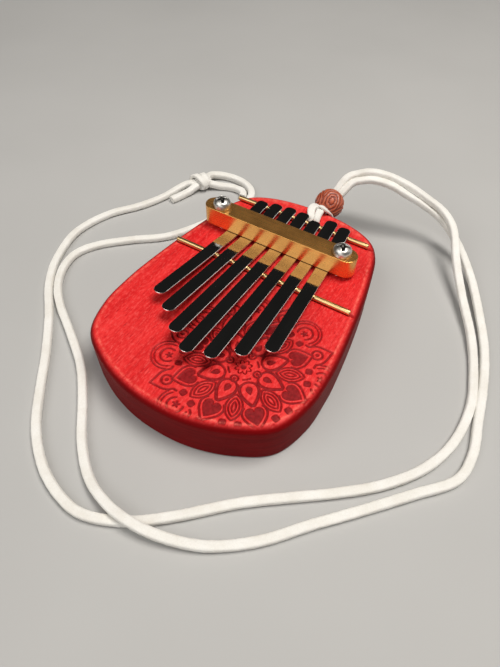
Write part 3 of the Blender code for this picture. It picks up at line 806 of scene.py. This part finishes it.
def make_bead():
    """Round bead, carved with nested ovals, with a lace bore."""
    n = 168
    lon = np.linspace(0, 2 * math.pi, n, endpoint=False)
    rim_lat = math.degrees(math.acos(BORE_R / BEAD_R)) - 0.6
    lats = np.radians(np.linspace(-rim_lat, rim_lat, 92))
    rng = np.random.RandomState(7)
    verts, groove = [], []
    for lat in lats:
        g = np.zeros(n)
        for k in range(4):
            c = k * math.pi / 2 + BEAD_SPIN
            da = (lon - c + math.pi) % (2 * math.pi) - math.pi
            p = da * math.cos(lat) * BEAD_R + 0.35 * math.sin(3.1 * lat + k)
            q = (lat + 0.33) * BEAD_R
            e = np.hypot(p / 3.9, q / 5.4) + 0.022 * np.sin(7 * np.arctan2(q, p) + k)
            near = np.abs(da) < math.pi / 4 + 0.02
            for level, w in ((0.30, 0.070), (0.62, 0.070), (0.94, 0.065)):
                g = np.where(near, np.maximum(g, np.exp(-((e - level) / w) ** 2)), g)
            seam = np.exp(-((np.abs(da) - math.pi / 4) * math.cos(lat) * BEAD_R / 0.20) ** 2)
            g = np.maximum(g, 0.9 * seam * (np.abs(da) < math.pi / 4 + 0.1))
        rim = smoothstep(math.radians(rim_lat - 7), math.radians(rim_lat), abs(lat))
        g = g * (1 - rim)
        rr = BEAD_R - 0.30 * g - 0.12 * rim
        verts.append(np.column_stack([rr * math.cos(lat) * np.cos(lon), rr * math.cos(lat) * np.sin(lon), rr * math.sin(lat)]))
        groove.append(g)
    hz = BEAD_R * math.sin(lats[-1])
    inner = [(BORE_R - 0.02, hz - 0.16), (BORE_R - 0.12, hz - 0.5)] + [(BORE_R - 0.12, z) for z in np.linspace(hz - 1, 1 - hz, 9)] \
        + [(BORE_R - 0.12, 0.5 - hz), (BORE_R - 0.02, 0.16 - hz)]
    for r, z in inner:
        verts.append(np.column_stack([r * np.cos(lon), r * np.sin(lon), np.full(n, z)]))
        groove.append(np.full(n, 0.6))
    rows = len(verts)
    v = np.vstack(verts)
    x, y, z = frame_of(BEAD_AXIS)
    world = laid(BEAD + v[:, 0:1] * x + v[:, 1:2] * y + v[:, 2:3] * z)
    faces = ring_faces(rows, n)
    o = (rows - 1) * n
    faces += [(o + j, j, (j + 1) % n, o + (j + 1) % n) for j in range(n)]
    ob = put("bead_finish", world, faces, [BEAD_LOOK], None, 75)
    tidy(ob)
    point_values(ob, "groove", np.concatenate(groove))
    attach(ob, "base")
    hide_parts("bead")
    return ob


# ---- lace ----------------------------------------------------------------
def sweep(name, path, width, thick, roll, seed, closed=False, caps=True, up=(0, 0, 1.0)):
    """Soft flat strip along points in mm; width, thick and roll per point."""
    n, m = 20, len(path)
    path = laid(path)
    if closed:
        tan = np.roll(path, -1, 0) - np.roll(path, 1, 0)
    else:
        tan = np.gradient(path, axis=0)
    tan /= np.linalg.norm(tan, axis=1)[:, None]
    up = np.broadcast_to(np.asarray(up, float), path.shape)
    side = np.cross(tan, up)
    side /= np.linalg.norm(side, axis=1)[:, None]
    top = np.cross(side, tan)
    c, s = np.cos(roll)[:, None], np.sin(roll)[:, None]
    a_side, a_top = side * c + top * s, top * c - side * s
    a = np.linspace(0, 2 * math.pi, n, endpoint=False)
    sx = np.sign(np.cos(a)) * np.abs(np.cos(a)) ** 0.62
    sy = np.sign(np.sin(a)) * np.abs(np.sin(a)) ** 0.68
    rng = np.random.RandomState(seed)
    nap = rng.normal(0, 1, (m, n))
    nap = (nap + np.roll(nap, 1, 1) + np.roll(nap, 1, 0)) / 3
    fuzz = 0.045 * nap
    w, t = np.asarray(width)[:, None], np.asarray(thick)[:, None]
    # a faint hollow along the middle of the flat faces
    dish = 1 - 0.10 * np.exp(-(np.cos(a) / 0.45) ** 2)
    px = sx[None, :] * w / 2 + np.cos(a)[None, :] * fuzz
    py = sy[None, :] * dish[None, :] * t / 2 + np.sin(a)[None, :] * fuzz
    v = path[:, None, :] + px[:, :, None] * a_side[:, None, :] + py[:, :, None] * a_top[:, None, :]
    verts = v.reshape(-1, 3)
    faces = ring_faces(m, n)
    if closed:
        o = (m - 1) * n
        faces += [(o + j, j, (j + 1) % n, o + (j + 1) % n) for j in range(n)]
    elif caps:
        faces.append(tuple(range(n)))
        faces.append(tuple(range(m * n - 1, (m - 1) * n - 1, -1)))
    ob = put(name, verts, faces, [SUEDE], None, 70)
    tidy(ob)
    return ob


def at_knot(p):
    d = np.asarray(p, float) - KNOT
    k = math.sqrt(((d / KNOT_R) ** 2).sum())
    return KNOT + d / k + d / np.linalg.norm(d) * 0.35


A_ROUTE = [(5.7, 70.6, 21.2), (9, 73.4, 22.6), (13.8, 74.9, 24.2), (20.6, 76.1, 24.1), (28.7, 77.4, 21.9),
           (36.7, 78.6, 18.2), (44.7, 78, 15), (51, 72.5, 12.4), (57, 60.4, 7.8), (64, 47.4, 4.4),
           (71.7, 32.4, 2.2), (76.7, 17, F), (78.8, 4, F), (77.6, -10, F), (72.7, -22.2, F),
           (64, -33, F), (53.7, -41.6, F), (43.4, -49, F), (31.1, -58, F), (18.3, -69.4, F),
           (8, -77, F), (-3.3, -81.6, F), (-12.8, -81, F), (-23.6, -76.6, F), (-34, -68.4, F),
           (-43.2, -57, F), (-51.3, -46, F), (-62, -33.2, F), (-72.6, -22, F), (-79.6, -11, F),
           (-84.2, 3, F), (-83.8, 13.1, F), (-79.8, 24.1, F), (-72.8, 33.8, F), (-67.7, 44.4, F),
           (-64.4, 55.4, 1.9)]
B_ROUTE = [(8.45, 69.5, 20.35), (12.05, 71.6, 21.8), (16.6, 72.75, 22.7), (22.9, 73.7, 22.1), (29.2, 75, 19.4),
           (36.4, 77.2, 15.8), (43.6, 77.8, 12.4), (50, 76.2, 8.8), (56.4, 70.8, 6), (63.6, 60.6, 4),
           (70.4, 47.2, 2.3),
           (76.7, 31.4, F), (80.2, 16, F), (82.2, 1, F), (83.6, -11, F), (81.6, -21.4, F),
           (72.6, -31.2, F), (61.7, -42.6, F), (51, -53.4, F), (41, -64, F), (29.5, -72.2, 1.7),
           (18, -76.4, 3.2), (7.5, -77.6, 4.3), (-2, -76, 3.2), (-10.5, -72.2, 1.7), (-19.4, -64.6, F),
           (-28, -54.4, F), (-37.5, -44.4, F), (-50, -35.4, F), (-62, -27.4, F), (-69.6, -20.4, F),
           (-74.6, -12, F), (-75.8, -3, F), (-71.2, 5.6, F), (-61.5, 14.8, F), (-51.5, 22.8, F),
           (-44.9, 32.6, F), (-39.6, 44, F), (-35.9, 52.7, F), (-33.9, 60.3, F), (-35.2, 66.3, F),
           (-39.8, 70.3, F), (-46.2, 72, F), (-52.6, 71.3, 1.5), (-57, 68.3, 2.2)]
HOLE_DIR = (HOLE_REAR - HOLE_TOP) / np.linalg.norm(HOLE_REAR - HOLE_TOP)


def settle(path):
    """Bring a lace down onto the strand that it crosses."""
    out = path.copy()
    out[:, 2] -= np.interp(path[:, 2], (1.35, 3.2, 4.3, 6.0, 11.0), (0.0, 0.15, 0.25, 0.15, 0.0))
    return out


def threaded(off):
    """From inside the hole, up over the rear edge and through the bead."""
    across = np.cross(BEAD_AXIS, (0, 0, 1.0))
    across /= np.linalg.norm(across)
    return ([HOLE_TOP + HOLE_DIR * d + (off, 0, 0) for d in (4.8, 2.4, 0.5)]
            + [np.array(q) for q in ((3.3 + off, 45.75, 16.95), (2.75 + 1.16 * off, 47.2, 17.75),
                                     (2.2 + 1.36 * off, 49.4, 17.85), (2.1 + 1.36 * off, 51.4, 17.75),
                                     (2.6 + 1.2 * off, 53.0, 16.95), (3.15 + 0.98 * off, 54.3, 15.55))]
            + [BEAD + BEAD_AXIS * d + across * off for d in (-2.8, 0.0, 2.6, 6.4)])


def make_knot():
    """Overhand knot: two slanting turns of lace round the laid-up strands."""
    run = np.array((0.50, 0.866, 0.0))
    out_dir = np.array((-0.866, 0.50, 0.0))
    zed = np.array((0, 0, 1.0))
    m = 72
    th = np.linspace(0, 2 * math.pi, m, endpoint=False)
    loops = []
    for tag, shift, lean, rr, seed in (("a", -1.25, -1.35, 3.80, 3), ("b", 1.45, -0.25, 3.25, 5)):
        ring = (np.cos(th)[:, None] * out_dir * rr + np.sin(th)[:, None] * zed * (rr * 0.70)
                + (shift + lean * np.cos(th) + 0.3 * np.sin(2 * th))[:, None] * run)
        up = np.cos(th)[:, None] * out_dir + np.sin(th)[:, None] * zed
        loops.append(sweep("knot_turn_" + tag, KNOT + ring + (0, 0, 0.18), np.full(m, 2.6), np.full(m, 1.7), np.zeros(m), seed,
                           closed=True, up=up))
    t = np.linspace(-1, 1, 21)
    core = KNOT + np.outer(3.9 * t, run) + np.outer(0.4 * np.sin(3 * t), zed) - (0, 0, 0.3)
    loops.append(sweep("knot_core", core, 4.8 - 1.0 * t ** 2, 4.0 - 1.3 * t ** 2, 0.2 * t, 6))
    return join("lanyard_knot_finish", loops)


def make_lace(bead):
    knot = make_knot()
    tails = []
    for tag, pts, seed in (("short", [at_knot((-58.6, 55.8, 2.6)), (-59.8, 53.0, F + 0.3), (-61.6, 48.4, F), (-63.2, 44.4, F)], 21),
                           ("long", [at_knot((-53, 61.9, 2.6)), (-50, 63.7, F + 0.3), (-45.4, 65.6, F), (-41, 65.8, F),
                                     (-38.9, 64.9, F), (-37.9, 63.4, F), (-37.5, 61.9, F)], 22)):
        path, s = even(catmull(pts, 14), 0.7)
        path, s = even(np.vstack([path[0] + (KNOT - path[0]) * 0.35, path]), 0.6)
        path = settle(path)
        m = len(path)
        path[:, 2] += 0.15
        tails.append(sweep("lanyard_tail_%s_finish" % tag, path, 3.1 + wobble(seed + 1, s, 9, 0.05), np.full(m, 2.85),
                           wobble(seed, s, 14, 0.06), seed))
        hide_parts("lanyard_tail_" + tag)
    bight = [HOLE_TOP + HOLE_DIR * 6.8, HOLE_TOP + HOLE_DIR * 10.6, (3.7, 54.3, 4.7), (5.1, 54.6, 5.3), (6.8, 54.2, 7.6),
             (7.5, 53.95, 10.4), (7.5, 53.85, 13.2), (7.2, 53.4, 15.2), (6.8, 52.5, 16.7), (6.3, 51.6, 17.7),
             (5.4, 51.0, 18.8), (4.2, 50.9, 19.4), (3.1, 51.1, 19.3)]
    path, s = even(catmull(bight, 14), 0.5)
    m = len(path)
    lift = smoothstep(13.5, 17.4, path[:, 2])[:, None]
    bight = sweep("lanyard_bight_finish", path, np.full(m, 1.7), np.full(m, 0.95), np.zeros(m), 31,
                  up=(1 - lift) * (0.25, 0.97, 0.0) + lift * (0.35, 0.25, 1.0))
    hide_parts("lanyard_bight")
    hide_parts("lanyard_knot")
    for ob in [knot, bight] + tails:
        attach(ob, "base")
    for tag, off, line, seed in (("a", -1.25, A_ROUTE, 11), ("b", 1.25, B_ROUTE, 12)):
        last = at_knot(np.array(line[-1], float) + (0, 0, 0.7))
        last = [last, last + (KNOT - last) * 0.4]
        dense = catmull(threaded(off) + [np.array(p, float) for p in line] + last, 14)
        path, s = even(dense, 0.6)
        wide = smoothstep(25, 29, s)
        gap = np.exp(-((s - 10.0) / 3.0) ** 2)          # between the hole and the bead
        width = 2.50 + 0.45 * wide + 0.55 * gap + wobble(seed + 4, s, 13, 0.035) * wide
        thick = 2.20 + 0.35 * wide - 0.20 * gap
        path = settle(path)
        if tag == "b":
            loop = smoothstep(s[-1] - 40, s[-1] - 30, s)    # stands up a little in the loop by the knot
            width, thick = width + 0.2 * loop, thick + 0.45 * loop
            path[:, 2] += 0.2 * loop
        roll = wobble(seed, s, 74, 0.10) * wide
        ob = sweep("lanyard_strand_%s_finish" % tag, path, width, thick, roll, seed)
        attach(ob, "base")
        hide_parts("lanyard_strand_" + tag)


def join(name, obs):
    """One mesh object from several."""
    bm = bmesh.new()
    for o in obs:
        bm.from_mesh(o.data)
    me = bpy.data.meshes.new(name)
    bm.to_mesh(me)
    bm.free()
    me.materials.append(SUEDE)
    me.shade_smooth()
    new = bpy.data.objects.new(name, me)
    bpy.context.scene.collection.objects.link(new)
    for o in obs:
        m = o.data
        bpy.data.objects.remove(o, do_unlink=True)
        bpy.data.meshes.remove(m)
    return new


make_board()
make_bar()
make_rod("front_bridge_rod", FRONT_ROD)
make_rod("rear_bridge_rod", REAR_ROD)
make_screw("screw_left", SCREWS[0], 40)
make_screw("screw_right", SCREWS[1], 25)
for i in range(7):
    make_tine(i)
make_lace(make_bead())

# ---- floor, light, camera --------------------------------------------------
k = Look("studio_floor", Roughness=0.9)
k.link(k.ramp(k.noise((9, 9, 9), 3, 0.5), (0.3, (0.44, 0.437, 0.430)), (0.7, (0.47, 0.467, 0.460))), "Base Color")
floor = put("studio_floor", [(-2500, -2500, 0), (2500, -2500, 0), (2500, 2500, 0), (-2500, 2500, 0)], [(0, 1, 2, 3)], [k.m], None, None)
floor.location.z = -0.00002

world = bpy.data.worlds.new("studio")
world.use_nodes = True
world.node_tree.nodes["Background"].inputs["Color"].default_value = (1.0, 0.98, 0.95, 1.0)
world.node_tree.nodes["Background"].inputs["Strength"].default_value = 0.022
bpy.context.scene.world = world


def lamp(name, place, aim, size, watts, colour):
    d = bpy.data.lights.new(name, "AREA")
    d.shape = "RECTANGLE"
    d.size, d.size_y = size
    d.energy = watts
    d.color = colour
    ob = bpy.data.objects.new(name, d)
    bpy.context.scene.collection.objects.link(ob)
    ob.location = place
    ob.rotation_euler = (Vector(aim) - Vector(place)).to_track_quat("-Z", "Y").to_euler()


lamp("key", (0.20, 0.12, 0.78), (0, 0, 0.01), (0.36, 0.36), 6.1, (1.0, 0.96, 0.90))
lamp("softbox", (-0.33, -0.605, 0.858), (0, 0, 0.02), (1.0, 0.8), 5.0, (1.0, 0.98, 0.95))
lamp("edge_light", (0.58, 0.48, 0.29), (0, 0, 0.02), (0.30, 0.30), 0.30, (1.0, 0.97, 0.94))

lamp("front_fill", (0.15, -0.92, 0.32), (0, 0, 0.02), (0.80, 0.40), 1.3, (1.0, 0.98, 0.95))

cam = bpy.data.cameras.new("camera")
cam.sensor_fit = "VERTICAL"
cam.sensor_height = 36.0
cam.lens = 27.785
cam.clip_start = 0.01
cam.clip_end = 20.0
eye = bpy.data.objects.new("camera", cam)
bpy.context.scene.collection.objects.link(eye)
right = Vector((0.869429, 0.493866, 0.013777))
down = Vector((0.391611, -0.671876, -0.628668))
ahead = Vector((-0.301221, 0.551978, -0.777551))
m = Matrix((right, -down, -ahead)).transposed().to_4x4()
m.translation = Vector((58.18, -103.43, 141.34)) * MM
eye.matrix_world = Matrix.Translation((PLAN_SHIFT[0] * MM, PLAN_SHIFT[1] * MM, 0)) @ Matrix.Rotation(PLAN_TURN, 4, "Z") @ m
bpy.context.scene.camera = eye
bpy.context.scene.view_settings.view_transform = "Standard"
